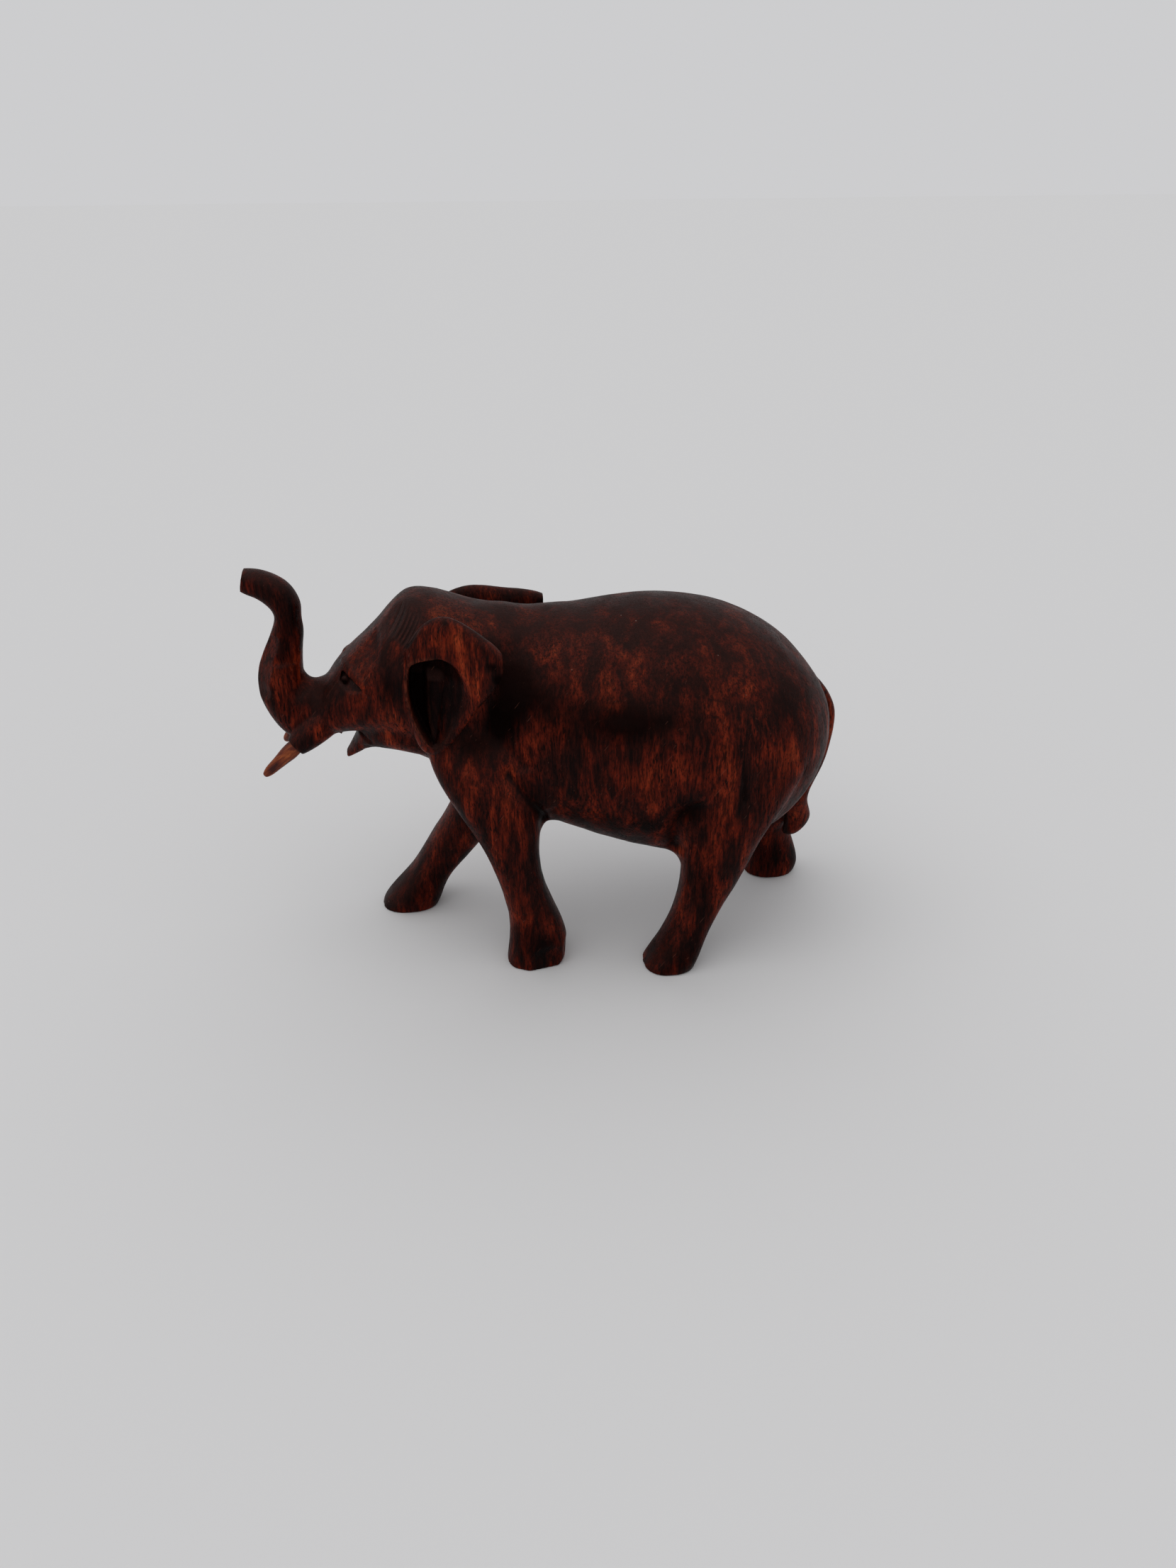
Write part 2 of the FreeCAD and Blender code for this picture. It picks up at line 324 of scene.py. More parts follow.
def hollow_pattern(side, x, z):
    """Where a point lies on the pattern of an ear's hollow: distance inside its outline,
    height on the left ear, and share of the way from its front edge to its rear edge."""
    ear = EARS[side]
    across = (x - ear["front"][0]) / ear["long"]
    height = EAR_FOOT + (z - EAR_FOOT) / ear["tall"]
    outline = [(u, v) for v, u in HOLLOW_FRONT] + [(u, v) for v, u in reversed(HOLLOW_REAR)]
    inward = depth_inside(across, height, curve(outline, closed=True, steps=4))
    front = np.interp(height, *zip(*HOLLOW_FRONT))
    rear = np.interp(height, *zip(*HOLLOW_REAR))
    return inward, height, np.clip((across - front) / np.maximum(rear - front, 0.5), 0, 1)


def carve_ear(block, side):
    """Pares the flap flat and hollows it: a deep channel behind the cheek, an arch over the
    top, and a tongue of wood left standing between the channel and a sloping rear side."""
    ear = EARS[side]
    (x0, y0), (x1, y1) = ear["front"], ear["rear"]
    slope = (y1 - y0) / (x1 - x0)
    near, far = sorted((side * (y0 - 4), side * (y1 + 6)))
    cut, (x, y, z) = block.window((x0 - 2, near, 45.0), (x1 + 3, far, 78.0))
    face = (side * y - y0 - EAR_FACE - slope * (x - x0)) / math.hypot(1, slope)
    flat = face - 1.2 * (1 - ease(x, x0 - 1.0, x0 + 6.0))
    block.field[cut] = smooth_max(block.field[cut], flat.astype(np.float32), 0.1)

    inward, height, share = hollow_pattern(side, x, z)
    below_arch = 1 - ease(height, 62.2, 64.4)
    sloping = 0.85 + 0.95 * (1 - ease(share, 0.60, 1.0))
    channel = 1.9 * (1 - ease(share, 0.26, 0.36))
    tongue = 0.75 * ease(share, 0.28, 0.36) * (1 - ease(share, 0.55, 0.74)) * below_arch
    groove = 0.22 * np.exp(-((share - 0.66) / 0.05) ** 2) * below_arch
    arch = 0.7 * (1 - below_arch) * (1 - ease(share, 0.45, 0.85))
    depth = sloping + channel - tongue + groove + arch
    depth = depth * ease(inward, 0.0, 0.55) + np.minimum(inward, 0) * 3
    block.field[cut] = smooth_max(block.field[cut], (face + depth).astype(np.float32), 0.12)


EYE = [(-38.6, 61.7), (-36.8, 61.0), (-34.5, 59.1), (-37.2, 58.3), (-39.2, 59.8)]   # x, z; the lid first
EYE_DEPTH = 1.15
EYEBALL = (-38.0, 6.0, 60.35)    # x, |y|, z
EYEBALL_RADIUS = 0.68


def carve_eye(block, side):
    """A flat three-cornered recess, deepest under its sharp upper lid, with a small ball."""
    near, far = sorted((side * 2.0, side * 12.0))
    cut, (x, _, z) = block.window((-42, near, 56), (-32, far, 65))
    inward = depth_inside(x, z, EYE + EYE[:1])
    from_lid, _ = distance_to_path(x, z, EYE[:3])
    depth = EYE_DEPTH * (1 - 0.8 * np.clip(from_lid / 2.6, 0, 1)) * ease(inward, 0.0, 0.35)
    block.field[cut] += depth.astype(np.float32)
    ball = (EYEBALL[0], side * EYEBALL[1], EYEBALL[2])
    add_tube(block, [ball, (ball[0] + 0.2, ball[1], ball[2] - 0.3)], [EYEBALL_RADIUS] * 2, 0.1)
    engrave(block, side, [(-39.4, 63.1), (-36.7, 62.1), (-33.7, 59.6)], 0.5, -0.22, (2.0, 12))
    engrave(block, side, [(-34.6, 59.1), (-33.4, 58.2)], 0.25, 0.3, (2.0, 12))


def carve_face(block, side):
    """Knife facets on forehead and brow, and lines at the jaw."""
    y_near, y_far = sorted((side * -2.0, side * 13.0))
    forehead, brow = (-32, side * 3, 69.0), (-37, side * 3, 64.4)
    cut_plane(block, forehead, (-0.627, side * 0.362, 0.690), (-42, y_near, 56), (-21.5, y_far, 81))
    cut_plane(block, brow, (-0.55, side * 0.52, 0.65), (-45, y_near, 54), (-28, y_far, 74))
    for k in range(4):
        engrave(block, side, [(-37.6 + 0.3 * k, 45.6 - 0.5 * k), (-35.4 + 0.4 * k, 46.5 - 0.3 * k),
                              (-33.0 + 0.8 * k, 46.8 + 0.1 * k)], 0.22, 0.22, (0, 9))
    engrave(block, side, [(-37.0, 48.9), (-35.4, 48.2), (-34.2, 47.6)], 0.35, 0.35, (0, 9))


# Height, x of the trunk's middle, half thickness, half width over its upright stretch
UPRIGHT_TRUNK = [(55.0, -49.4, 4.6, 4.8), (59.2, -50.1, 4.1, 4.2), (64.0, -49.0, 3.3, 3.6),
                 (68.3, -47.6, 2.7, 3.1), (71.8, -47.3, 2.6, 2.9), (75.0, -48.6, 2.6, 2.8)]


def carve_trunk(block):
    """Long knife facets down the front corners and the sides of the trunk. They run out at
    its foot and below its tip, and the side facets stay clear of the mouth."""
    cut, (x, y, z) = block.window((-56, -7, 53), (-43.5, 7, 77))
    heights, middles, thick, wide = zip(*UPRIGHT_TRUNK)
    ahead = np.interp(z, heights, middles) - x
    half_thick, half_wide = np.interp(z, heights, thick), np.interp(z, heights, wide)
    run_out = 1.5 * (1 - ease(z, 53.5, 57.5)) + 12.0 * ease(z, 67.0, 73.0)
    high_only = 4.0 * (1 - ease(z, 59.0, 63.0)) + 5.0 * ease(z, 63.5, 69.5)
    high_only = high_only + 4.0 * ease(x, -46.5, -43.5)
    for side in (LEFT, RIGHT):
        corner = ahead * 0.78 + side * y * 0.62 - half_thick * 0.94 - run_out
        flank = side * y - half_wide * 0.93 - run_out - high_only
        rear = side * y * 0.75 - ahead * 0.66 - half_wide * 0.97 - run_out - high_only
        for facet in (corner, flank, rear):
            block.field[cut] = smooth_max(block.field[cut], facet.astype(np.float32), 0.1)


def soften_trunk(block):
    """Rounds the rear of the trunk below its tip."""
    cut, (x, _, z) = block.window((-51, -7, 61), (-40, 7, 78))
    soft = ease(z, 62.0, 66.0) * (1 - ease(z, 73.5, 77.5)) * ease(x, -50.0, -46.0)
    block.field[cut] += (blurred(block, 0.9)[cut] - block.field[cut]) * soft


FOOT_FACETS = [            # a point on the facet (x, y, z) and the way it faces
    ((-7.2, -16.3, 4), (0.22, -0.97, 0.03)),
    ((-7.2, -16.3, 4), (-0.40, -0.91, 0.03)),
    ((0.0, -12.0, 4), (0.97, -0.22, 0.10)),
    ((17.6, -20.4, 3), (-0.55, -0.82, 0.12)),
    ((25.0, -20.3, 3), (0.45, -0.88, 0.05)),
    ((-33.0, 6.7, 3), (-0.35, -0.92, 0.10)),
    ((-27.0, 6.8, 3), (0.30, -0.95, 0.05)),
    ((-33.5, 16.6, 3), (-0.45, 0.88, 0.10)),
    ((-26.5, 16.5, 3), (0.40, 0.91, 0.05)),
    ((45.0, 11.6, 3), (-0.50, -0.85, 0.08)),
    ((53.0, 11.6, 3), (0.40, -0.90, 0.05)),
    ((45.0, 20.7, 3), (-0.50, 0.85, 0.08)),
    ((53.0, 20.6, 3), (0.45, 0.88, 0.05)),
    ((-1.5, -6.6, 3), (0.40, 0.90, 0.05)),
    ((24.8, -11.0, 3), (0.40, 0.90, 0.05)),
]
FOOT_RELEASE = (2.0, 18.0)     # the heights between which the facets run out


def carve_feet(block):
    """Soft facets round each foot, and soles cut flat where they stand."""
    _, (_, _, z) = block.everywhere()
    block.field = smooth_max(block.field, -z, 0.1).astype(np.float32)
    for (px, py, pz), way in FOOT_FACETS:
        low, high = (px - 11, py - 9, -9), (px + 11, py + 9, 22)
        cut_plane(block, (px, py, pz), way, low, high, 0.2, FOOT_RELEASE)


def carve_muscles(block, side):
    """Soft creases where the limbs leave the belly and shoulder."""
    if side == LEFT:
        shoulder = [(-10.8, 45.0), (-8.6, 41.2), (-6.0, 37.2), (-3.6, 33.6), (-3.0, 30.0)]
        engrave(block, side, shoulder, 1.1, 0.75)
        engrave(block, side, [(-6.5, 45.0), (-5.0, 40.0), (-1.0, 35.5)], 2.2, -0.35)
        engrave(block, side, [(22.0, 24.0), (21.3, 30.0), (22.4, 35.5), (26.5, 38.5)], 1.7, 0.9)
        engrave(block, side, [(32.4, 47.5), (32.9, 42.0), (33.3, 36.5)], 0.35, 0.22)
        engrave(block, side, [(35.4, 46.5), (35.9, 40.5), (36.0, 36.0)], 0.3, 0.16)
    else:
        engrave(block, side, [(-8.5, 28.0), (-7.0, 36.5), (-8.5, 41.5), (-9.5, 47.0)], 1.4, 0.75)
        engrave(block, side, [(30.0, 26.0), (28.0, 31.0), (28.0, 37.0), (31.0, 42.0)], 1.8, 0.9)


def carve_tail(block, side):
    """A soft groove down each side of the tail, so that it stands out from the rump."""
    tail_root = [(51.0, side * 2.6, 52.5), (53.2, side * 2.6, 46.5), (53.4, 0.8 + side * 2.4, 40.5),
                 (52.4, 2.2 + side * 2.4, 34.5), (51.6, 3.6 + side * 2.4, 29.5)]
    cut, (x, y, z) = block.window((47, -6, 26), (57, 9, 55))
    away = tube(tail_root, [0] * len(tail_root), x, y, z)
    block.field[cut] += (0.7 * np.exp(-(away / 0.75) ** 2)).astype(np.float32)


def weather(block):
    """The unevenness of hand work: slow swells and shallow knife marks."""
    shape = block.field.shape
    swell = lattice_noise(shape, 9.0 / block.voxel, 11)
    marks = lattice_noise(shape, 3.2 / block.voxel, 12)
    strokes = lattice_noise(shape, 1.5 / block.voxel, 13)
    block.field += 0.16 * swell + 0.06 * marks + 0.02 * strokes


# ------------------------------------------------------------------ materials
class Nodes:
    """A short way to write a node tree."""

    def __init__(self, tree):
        self.tree = tree

    def add(self, kind, inputs=None, **settings):
        node = self.tree.nodes.new(kind)
        for key, value in settings.items():
            setattr(node, key, value)
        for key, value in (inputs or {}).items():
            if isinstance(value, bpy.types.NodeSocket):
                self.tree.links.new(value, node.inputs[key])
            else:
                node.inputs[key].default_value = value
        return node

    def math(self, operation, *values, clamp=False):
        node = self.add("ShaderNodeMath", dict(enumerate(values)), operation=operation, use_clamp=clamp)
        return node.outputs[0]

    def noise(self, vector, scale, detail=4.0, rough=0.55, distort=0.0):
        return self.add("ShaderNodeTexNoise", {"Vector": vector, "Scale": scale, "Detail": detail,
                                               "Roughness": rough, "Distortion": distort}).outputs["Fac"]

    def stretch(self, vector, x, y, z):
        node = self.add("ShaderNodeMapping", {"Vector": vector, "Scale": (x, y, z)})
        return node.outputs[0]

    def ramp(self, factor, stops):
        """A colour ramp through stops of (place, colour)."""
        node = self.add("ShaderNodeValToRGB", {"Fac": factor})
        ramp = node.color_ramp
        while len(ramp.elements) < len(stops):
            ramp.elements.new(0.5)
        for element, (place, colour) in zip(ramp.elements, stops):
            element.position = place
            element.color = colour if len(colour) == 4 else (*colour, 1)
        return node.outputs["Color"]

    def span(self, value, from_low, from_high, to_low=0.0, to_high=1.0):
        """Maps one range onto another, and holds the ends."""
        node = self.add("ShaderNodeMapRange", {"Value": value, "From Min": from_low, "From Max": from_high,
                                               "To Min": to_low, "To Max": to_high})
        return node.outputs[0]

    def turned(self, vector, degrees):
        """The vector turned about the y axis."""
        node = self.add("ShaderNodeMapping", {"Vector": vector, "Rotation": (0, math.radians(degrees), 0)})
        return node.outputs[0]

    def mix(self, factor, a, b, blend="MIX"):
        node = self.add("ShaderNodeMix", data_type="RGBA", blend_type=blend)
        for key, value in ((0, factor), (6, a), (7, b)):
            if isinstance(value, bpy.types.NodeSocket):
                self.tree.links.new(value, node.inputs[key])
            else:
                node.inputs[key].default_value = value if key == 0 or len(value) == 4 else (*value, 1)
        return node.outputs[2]


def new_material(name):
    material = bpy.data.materials.new(name)
    material.use_nodes = True
    material.node_tree.nodes.clear()
    return material, Nodes(material.node_tree)


# Noise scales below are cells per metre along x, y and z; the stain's grain stands upright
# Near black: dark stain in places, and painted shade and a painted dark reflection where the tone patches
# lay them
BLACK_STAIN_AND_SHADE = (0.0022, 0.0004, 0.0003)
PORE_BLACK = (0.0040, 0.0008, 0.0006)
# stain gathered in hollows, together with painted shade
CAVITY_STAIN_AND_SHADE = (0.0020, 0.0005, 0.0004)
WORN_EDGE = (0.130, 0.035, 0.018)
DUST_AND_PAINTED_SHEEN = (0.042, 0.018, 0.015)
SCRATCH_BROWN = (0.160, 0.060, 0.040)
DUST = (0.30, 0.20, 0.16)
TEMPLE = (-26.6, 70.6)         # x, z of the middle of the temple's wrinkles
FURROW_RUN = (0.54, 0.84)      # the way that they run, in x and z
FURROW_PITCH = 0.68            # mm from one furrow to the next
FURROW_TOP = 71.0              # z at which the bowed furrows stand straight
FURROW_BOW = 25.0              # how strongly they bow away from there, per metre


def stain(n, blend, streaks, tone_light_and_shade, cavity):
    """The red-brown stain: broad bands and clouds, fine streaks and paler worn edges. The tone shifts it
    darker or redder, and so brings painted shade and painted light into it.
    """
    strong = n.span(blend, 0.30, 0.70, 0.26, 0.74)
    shifted = n.math("ADD", strong, n.math("MULTIPLY", tone_light_and_shade, 0.13))
    colour = n.ramp(shifted, [
        (0.34, (0.0040, 0.0007, 0.0005)),
        (0.44, (0.0180, 0.0022, 0.0010)),
        (0.53, (0.0600, 0.0052, 0.0016)),
        (0.62, (0.1320, 0.0140, 0.0036)),
        (0.74, (0.2400, 0.0370, 0.0105)),
    ])
    colour = n.mix(n.span(cavity, -0.50, -0.90, 0.0, 0.25), colour, WORN_EDGE)
    fine = n.span(streaks, 0.37, 0.63, 0.35, 1.65)
    grey = n.add("ShaderNodeCombineColor", {0: fine, 1: fine, 2: fine}).outputs[0]
    return n.mix(1.0, colour, grey, "MULTIPLY")


def open_pores(n, place):
    """A mask of the pores: long coarse ones in patches, and short dense ones everywhere."""
    zone = n.span(n.noise(n.stretch(place, 190, 190, 90), 1.0, 2.0), 0.36, 0.60, 0.15, 1.0)
    coarse = n.noise(n.stretch(place, 2600, 2600, 560), 1.0, 1.0, 0.5, 0.1)
    coarse = n.math("MULTIPLY", n.span(coarse, 0.59, 0.66), zone)
    dense = n.span(n.noise(n.stretch(place, 4400, 4400, 1250), 1.0, 1.0, 0.5, 0.1), 0.55, 0.68)
    return n.math("MAXIMUM", coarse, n.math("MULTIPLY", dense, 0.72), clamp=True)


def temple_furrows(n, place, mask):
    """A mask of fine bowed furrows, evenly spaced across the temple."""
    xyz = n.add("ShaderNodeSeparateXYZ", {0: place})
    drop = n.math("SUBTRACT", xyz.outputs[2], FURROW_TOP * MM)
    across = n.math("MULTIPLY", xyz.outputs[0], FURROW_RUN[1])
    lean = n.math("SUBTRACT", across, n.math("MULTIPLY", drop, FURROW_RUN[0]))
    bow = n.math("MULTIPLY", n.math("MULTIPLY", drop, drop), FURROW_BOW)
    phase = n.math("MULTIPLY", n.math("ADD", lean, bow), math.tau / (FURROW_PITCH * MM))
    return n.math("MULTIPLY", n.span(n.math("COSINE", phase), -0.1, 0.6), mask, clamp=True)


def scratches_dust_and_sheen(n, colour, place):
    """A few slanting scratches from handling, a greyer top that is dust and a painted sheen, and specks of
    dust.
    """
    scratch = n.noise(n.stretch(n.turned(place, 52), 90, 3300, 3300), 1.0, 1.0, 0.5, 0.0)
    scratch = n.span(scratch, 0.735, 0.765)
    colour = n.mix(n.math("MULTIPLY", scratch, 0.30), colour, SCRATCH_BROWN)
    normal = n.add("ShaderNodeNewGeometry").outputs["Normal"]
    up = n.add("ShaderNodeSeparateXYZ", {0: normal}).outputs[2]
    # Upward faces greyed: dust, together with a painted sheen of the bright light above.
    colour = n.mix(n.span(up, 0.1, 0.9, 0.0, 0.55), colour, DUST_AND_PAINTED_SHEEN)
    cells = n.add("ShaderNodeTexVoronoi", {"Vector": place, "Scale": 420.0, "Randomness": 1.0})
    speck = n.math("LESS_THAN", cells.outputs["Distance"], 0.05)
    lottery = n.add("ShaderNodeSeparateColor", {0: cells.outputs["Color"]}).outputs[0]
    chosen = n.math("GREATER_THAN", lottery, 0.80)
    speck = n.math("MULTIPLY", n.math("MULTIPLY", speck, chosen), n.span(up, 0.25, 0.7))
    return n.mix(n.math("MULTIPLY", speck, 0.55), colour, DUST)


def stained_hardwood():
    """Dark red-brown stained hardwood with upright grain, open pores and a satin wax. Its colour also
    holds painted shade in hollows and behind the left ear, a painted dark reflection on the flank, painted
    light on the brow and ear, and a painted sheen on top.
    """
    material, n = new_material("stained_hardwood")
    place = n.add("ShaderNodeTexCoord").outputs["Object"]
    cavity = n.add("ShaderNodeAttribute", attribute_name="cavity").outputs["Fac"]
    tone_light_and_shade = n.add("ShaderNodeAttribute", attribute_name="tone_light_and_shade").outputs["Fac"]
    mask = n.add("ShaderNodeAttribute", attribute_name="temple").outputs["Fac"]

    streaks = n.noise(n.stretch(place, 1900, 1900, 260), 1.0, 3.0, 0.6, 0.3)
    bands = n.noise(n.stretch(place, 260, 260, 60), 1.0, 5.0, 0.62, 0.5)
    clouds = n.noise(n.stretch(place, 75, 75, 55), 1.0, 5.0, 0.62, 0.2)
    blend = n.math("ADD", n.math("MULTIPLY", bands, 0.68), n.math("MULTIPLY", clouds, 0.32))
    colour = stain(n, blend, streaks, tone_light_and_shade, cavity)

    pore = open_pores(n, place)
    colour = n.mix(n.math("MULTIPLY", pore, 0.88), colour, PORE_BLACK)
    # Darkens to near black in random clouds of stain. Through the tone it also paints shade behind the
    # left ear and in the ears' hollows, and a painted dark reflection on the left flank.
    drift = n.math("MULTIPLY", n.math("SUBTRACT", clouds, 0.5), 0.6)
    dark_stain_and_shade = n.math("ADD", n.math("MULTIPLY", tone_light_and_shade, -0.75), drift)
    colour = n.mix(n.span(dark_stain_and_shade, 0.10, 0.90, 0.0, 0.94), colour, BLACK_STAIN_AND_SHADE)
    # Hollows and creases darkened nearly to black: partly stain gathered there, partly painted shade.
    colour = n.mix(n.span(cavity, 0.04, 0.26, 0.0, 0.92), colour, CAVITY_STAIN_AND_SHADE)

    furrow = temple_furrows(n, place, mask)
    colour = n.mix(n.math("MULTIPLY", mask, 0.6), colour, (0.034, 0.016, 0.014))
    colour = n.mix(furrow, colour, (0.0010, 0.0005, 0.0004))
    colour = scratches_dust_and_sheen(n, colour, place)

    rough = n.span(n.noise(place, 260.0, 4.0, 0.6), 0.3, 0.7, 0.32, 0.50)
    rough = n.math("ADD", rough, n.math("MULTIPLY", pore, 0.2), clamp=True)
    height = n.math("ADD", n.math("MULTIPLY", pore, -1.0), n.math("MULTIPLY", streaks, 0.6))
    height = n.math("SUBTRACT", height, n.math("MULTIPLY", furrow, 4.0))
    bump = n.add("ShaderNodeBump", {"Strength": 0.6, "Distance": 0.00012, "Height": height}).outputs[0]
    gloss = n.span(tone_light_and_shade, -0.9, 0.0, 0.1, 0.5)
    shader = n.add("ShaderNodeBsdfPrincipled", {"Base Color": colour, "Roughness": rough, "Normal": bump,
                                                "IOR": 1.14, "Specular IOR Level": gloss})
    n.add("ShaderNodeOutputMaterial", {"Surface": shader.outputs[0]})
    return material


def pale_wood():
    """Paler, whittled wood, with dark red grain lines along the tusks."""
    material, n = new_material("pale_wood")
    place = n.add("ShaderNodeTexCoord").outputs["Object"]
    grain = n.noise(n.stretch(n.turned(place, 38), 160, 1100, 1100), 1.0, 3.0, 0.6, 0.5)
    clouds = n.noise(place, 300.0, 3.0)
    colour = n.ramp(n.math("ADD", n.math("MULTIPLY", grain, 0.7), n.math("MULTIPLY", clouds, 0.3)), [
        (0.38, (0.036, 0.004, 0.002)),
        (0.48, (0.120, 0.018, 0.005)),
        (0.59, (0.270, 0.062, 0.014)),
        (0.73, (0.430, 0.150, 0.042)),
    ])
    rough = n.span(clouds, 0.3, 0.7, 0.38, 0.55)
    bump = n.add("ShaderNodeBump", {"Strength": 0.4, "Distance": 0.0001, "Height": grain}).outputs[0]
    shader = n.add("ShaderNodeBsdfPrincipled", {"Base Color": colour, "Roughness": rough, "Normal": bump,
                                                "IOR": 1.3})
    n.add("ShaderNodeOutputMaterial", {"Surface": shader.outputs[0]})
    return material


# ------------------------------------------------------------------ pieces
def store(mesh, name, values):
    """Keeps one number for each point of the mesh, for the material to read."""
    layer = mesh.attributes.new(name, "FLOAT", "POINT")
    layer.data.foreach_set("value", values.astype(np.float32))


TONE_LIGHT_AND_SHADE_PATCHES = [                  # side, x, z, reach in x, reach in z, tone: below 0 dark, above 0 bright red. Among them are painted shade, a painted dark reflection and painted light, as marked below
    # painted dark reflection on the left flank
    (LEFT, 11.0, 54.7, 8.0, 4.2, -1.0),
    # painted shade behind the left ear, in this and the next two patches
    (LEFT, -8.0, 60.0, 3.9, 5.6, -1.5),
    (LEFT, -10.8, 53.5, 3.6, 5.0, -1.3),
    (LEFT, -15.5, 49.0, 4.0, 3.5, -0.9),
    (LEFT, 1.0, 56.0, 9.0, 6.0, -0.50),
    (LEFT, 20.0, 55.0, 7.0, 3.0, -0.40),
    (LEFT, -3.0, 58.0, 3.5, 4.0, -0.35),
    (LEFT, 22.5, 36.0, 4.0, 4.0, -0.8),
    (LEFT, 9.0, 33.5, 13.0, 3.0, -0.4),
    (LEFT, -5.5, 37.5, 3.0, 5.0, -0.5),
    (LEFT, 41.0, 56.0, 6.0, 6.0, -0.35),
    (LEFT, 33.0, 42.0, 1.2, 6.5, -0.5),
    (LEFT, 24.0, 61.0, 7.0, 4.0, -0.25),
    (LEFT, -6.0, 6.0, 8.0, 5.5, -0.5),
    (LEFT, 21.0, 5.0, 7.0, 6.0, -0.6),
    (LEFT, 27.0, 20.0, 2.5, 9.0, -0.3),
    (LEFT, -30.2, 61.0, 2.2, 6.0, -0.5),
    (LEFT, -26.5, 70.8, 2.8, 3.4, -0.5),
    (LEFT, -34.0, 45.8, 2.6, 1.6, -0.5),
    (LEFT, -12.0, 66.6, 1.4, 1.0, -0.9),
    (LEFT, -11.0, 64.3, 1.0, 1.4, -0.9),
    (LEFT, -38.1, 60.3, 0.9, 0.9, -1.6),
    # painted light on the left brow
    (LEFT, -36.4, 64.2, 2.4, 2.6, 0.8),
    # painted light on the rear of the left ear's flap
    (LEFT, -14.0, 61.5, 2.6, 8.0, 0.8),
    (LEFT, -20.0, 70.5, 5.5, 2.8, 0.55),
    (LEFT, 13.0, 44.5, 13.0, 4.5, 0.60),
    (LEFT, 30.0, 45.0, 8.0, 6.0, 0.40),
    (LEFT, -31.5, 53.0, 4.0, 4.5, 0.45),
    (LEFT, -11.5, 34.0, 3.0, 10.0, 0.40),
    (LEFT, 31.0, 28.0, 4.0, 7.0, 0.25),
    (LEFT, -52.6, 60.0, 1.6, 9.0, 0.5),
    (LEFT, -48.0, 65.0, 2.0, 8.0, -0.6),
    (LEFT, -48.5, 55.0, 3.5, 3.5, -0.3),
    (LEFT, -44.0, 56.8, 4.5, 3.0, -0.6),
    (LEFT, -47.0, 70.5, 3.0, 4.0, -0.4),
    (LEFT, -24.0, 60.0, 2.6, 9.0, -0.35),
    (RIGHT, -6.5, 60.0, 6.5, 7.0, -1.3),
    (RIGHT, 20.0, 55.0, 9.0, 5.0, -0.6),
    (RIGHT, 30.0, 38.0, 4.0, 4.5, -0.6),
    (RIGHT, -30.2, 61.0, 2.2, 6.0, -0.5),
    (RIGHT, -26.3, 70.8, 2.6, 3.4, -0.6),
    (RIGHT, -30.0, 6.0, 9.0, 6.0, -0.5),
    (RIGHT, 48.0, 6.0, 8.0, 6.0, -0.5),
    (RIGHT, 5.0, 45.0, 12.0, 5.0, 0.55),
    (RIGHT, 38.0, 47.0, 7.0, 6.0, 0.35),
    (RIGHT, -8.0, 65.0, 5.0, 3.0, 0.5),
    (RIGHT, -38.1, 60.3, 0.9, 0.9, -1.6),
    (RIGHT, -36.4, 64.2, 2.4, 2.6, 0.6),
    (RIGHT, -48.0, 66.0, 2.0, 8.0, -0.4),
]


def temple(points):
    """Where the fine wrinkles of the temples lie: 1 there, 0 elsewhere."""
    x, z = points[:, 0] - TEMPLE[0], points[:, 2] - TEMPLE[1]
    along = x * FURROW_RUN[0] + z * FURROW_RUN[1]
    across = x * FURROW_RUN[1] - z * FURROW_RUN[0]
    patch = (1 - ease(np.abs(along), 1.6, 3.2)) * (1 - ease(np.abs(across), 1.5, 1.9))
    return patch * (np.abs(points[:, 1]) > 3)


def tone_light_and_shade_field(points):
    """The tone at each point: dark patches, redder fields and a darker back. Among the patches are painted
    shade, a painted dark reflection and painted light, and painted shade lies in the ears' hollows.
    """
    tone_light_and_shade = -0.15 * ease(points[:, 2], 62.0, 70.0) * ease(points[:, 0], -12.0, -4.0)
    for side, x, z, reach_x, reach_z, strength in TONE_LIGHT_AND_SHADE_PATCHES:
        away = ((points[:, 0] - x) / reach_x) ** 2 + ((points[:, 2] - z) / reach_z) ** 2
        tone_light_and_shade += strength * np.exp(-away * 1.4) * ease(points[:, 1] * side, 0.0, 4.0)
    # Painted shade in each ear's hollow, lighter on the tongue of wood left standing
    for side in (LEFT, RIGHT):
        inward, height, share = hollow_pattern(side, points[:, 0], points[:, 2])
        tongue = ease(share, 0.30, 0.45) * (1 - ease(height, 61.5, 64.0))
        tone_light_and_shade -= ease(inward, -0.2, 0.7) * (0.95 - 0.55 * tongue) * (points[:, 1] * side > 8)
    return tone_light_and_shade


EDGE_REACH = 0.9          # mm over which edges and hollows are told from flat wood


def carved_body():
    """The whole animal but its tusks."""
    block = Block("carved_body", BODY_VOXEL)
    fill_creases(block)
    smooth_crown(block)
    for side in (LEFT, RIGHT):
        carve_muscles(block, side)
        carve_tail(block, side)
    weather(block)
    for side in (LEFT, RIGHT):
        carve_ear(block, side)
        carve_face(block, side)
        carve_eye(block, side)
    carve_trunk(block)
    soften_trunk(block)
    carve_feet(block)
    piece = block.mesh("carved_elephant")
    points = np.empty(len(piece.data.vertices) * 3, np.float32)
    piece.data.vertices.foreach_get("co", points)
    points = points.reshape(-1, 3) / MM
    store(piece.data, "cavity", np.clip(-block.sample(blurred(block, EDGE_REACH), points), -1, 1))
    # The tone, which holds painted shade, a painted dark reflection and painted light along with the
    # stain's own tone
    store(piece.data, "tone_light_and_shade", tone_light_and_shade_field(points))
    store(piece.data, "temple", temple(points))
    return piece


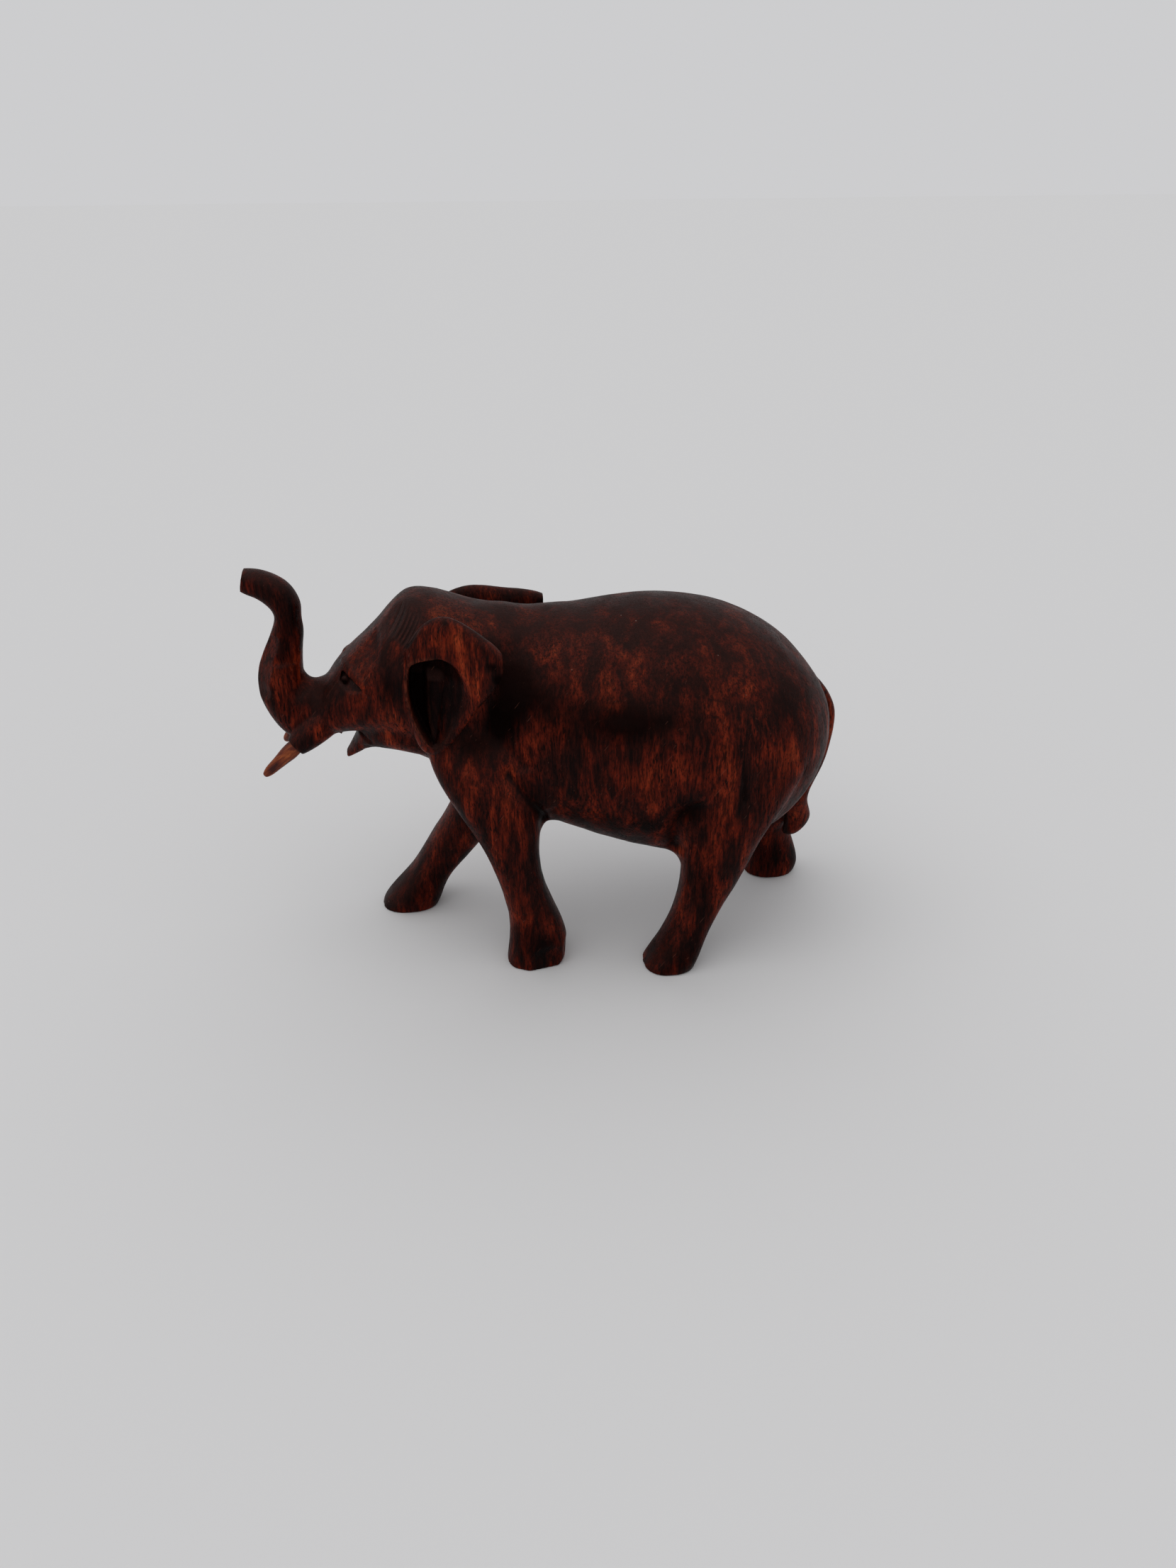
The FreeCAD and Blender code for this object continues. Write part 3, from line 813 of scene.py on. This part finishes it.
def tusk(node):
    """A tusk with the unevenness of whittling."""
    block = Block(node, TUSK_VOXEL)
    shape = block.field.shape
    block.field += 0.05 * lattice_noise(shape, 1.8 / TUSK_VOXEL, 21)
    return block.mesh(node + "_whittled")


def dress(piece, material, node):
    """Gives a piece its material and puts it in the place of its CAD node."""
    piece.data.materials.append(material)
    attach(piece, "root")
    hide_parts(node)


# ------------------------------------------------------------------ the studio
STUDIO_GREY = (0.61, 0.61, 0.62, 1)
FLOOR_WHITE = (0.82, 0.82, 0.82, 1)
FLOOR_HALF = 3.0               # m from the middle of the floor to its edge
SUN_WAY = (0.35, 0.22, -1.0)


def studio():
    """A wide pale floor that fades into the even light around it, and a broad soft sun."""
    corners = [(a * FLOOR_HALF, b * FLOOR_HALF, 0) for a, b in ((-1, -1), (1, -1), (1, 1), (-1, 1))]
    mesh = bpy.data.meshes.new("floor")
    mesh.from_pydata(corners, [], [(0, 1, 2, 3)])
    floor = bpy.data.objects.new("floor", mesh)
    bpy.context.scene.collection.objects.link(floor)
    material, n = new_material("floor_paper")
    shader = n.add("ShaderNodeBsdfPrincipled", {"Base Color": FLOOR_WHITE, "Roughness": 0.8,
                                                "Specular IOR Level": 0.0})
    n.add("ShaderNodeOutputMaterial", {"Surface": shader.outputs[0]})
    floor.data.materials.append(material)

    world = bpy.data.worlds.new("studio")
    bpy.context.scene.world = world
    world.use_nodes = True
    background = world.node_tree.nodes["Background"]
    background.inputs["Color"].default_value = STUDIO_GREY
    background.inputs["Strength"].default_value = 1.0

    sun = bpy.data.lights.new("softbox_sun", "SUN")
    sun.angle = math.radians(60)
    sun.energy = 0.42
    sun.color = (1.0, 0.985, 0.965)
    obj = bpy.data.objects.new("softbox_sun", sun)
    obj.rotation_euler = Vector(SUN_WAY).to_track_quat("-Z", "Y").to_euler()
    bpy.context.scene.collection.objects.link(obj)


def photo_camera():
    """A phone-like wide view from the elephant's left, a little ahead of it and well above.
    The azimuth turns it about the vertical, the pitch tips it down and the roll tilts it."""
    azimuth, pitch, roll = math.radians(-6.0), math.radians(29.0), math.radians(-0.3)
    aim = Vector((6.3, 0.0, 32.8)) * MM
    distance = 233.4 * MM
    level = Vector((-math.sin(azimuth), math.cos(azimuth), 0))
    forward = level * math.cos(pitch) - Vector((0, 0, math.sin(pitch)))
    right = forward.cross(Vector((0, 0, 1))).normalized()
    up = right.cross(forward)
    turned_right = right * math.cos(roll) + up * math.sin(roll)
    turned_up = up * math.cos(roll) - right * math.sin(roll)
    camera = bpy.data.cameras.new("camera")
    camera.lens = 27.0
    camera.sensor_width = 36.0
    camera.clip_start = 0.01
    obj = bpy.data.objects.new("camera", camera)
    rotation = Matrix((turned_right, turned_up, -forward)).transposed().to_4x4()
    obj.matrix_world = Matrix.Translation(aim - forward * distance) @ rotation
    bpy.context.scene.collection.objects.link(obj)
    bpy.context.scene.camera = obj


dress(carved_body(), stained_hardwood(), "carved_body")
tusk_wood = pale_wood()
for tusk_node in ("left_tusk", "right_tusk"):
    dress(tusk(tusk_node), tusk_wood, tusk_node)
studio()
photo_camera()
bpy.context.scene.view_settings.view_transform = "Standard"
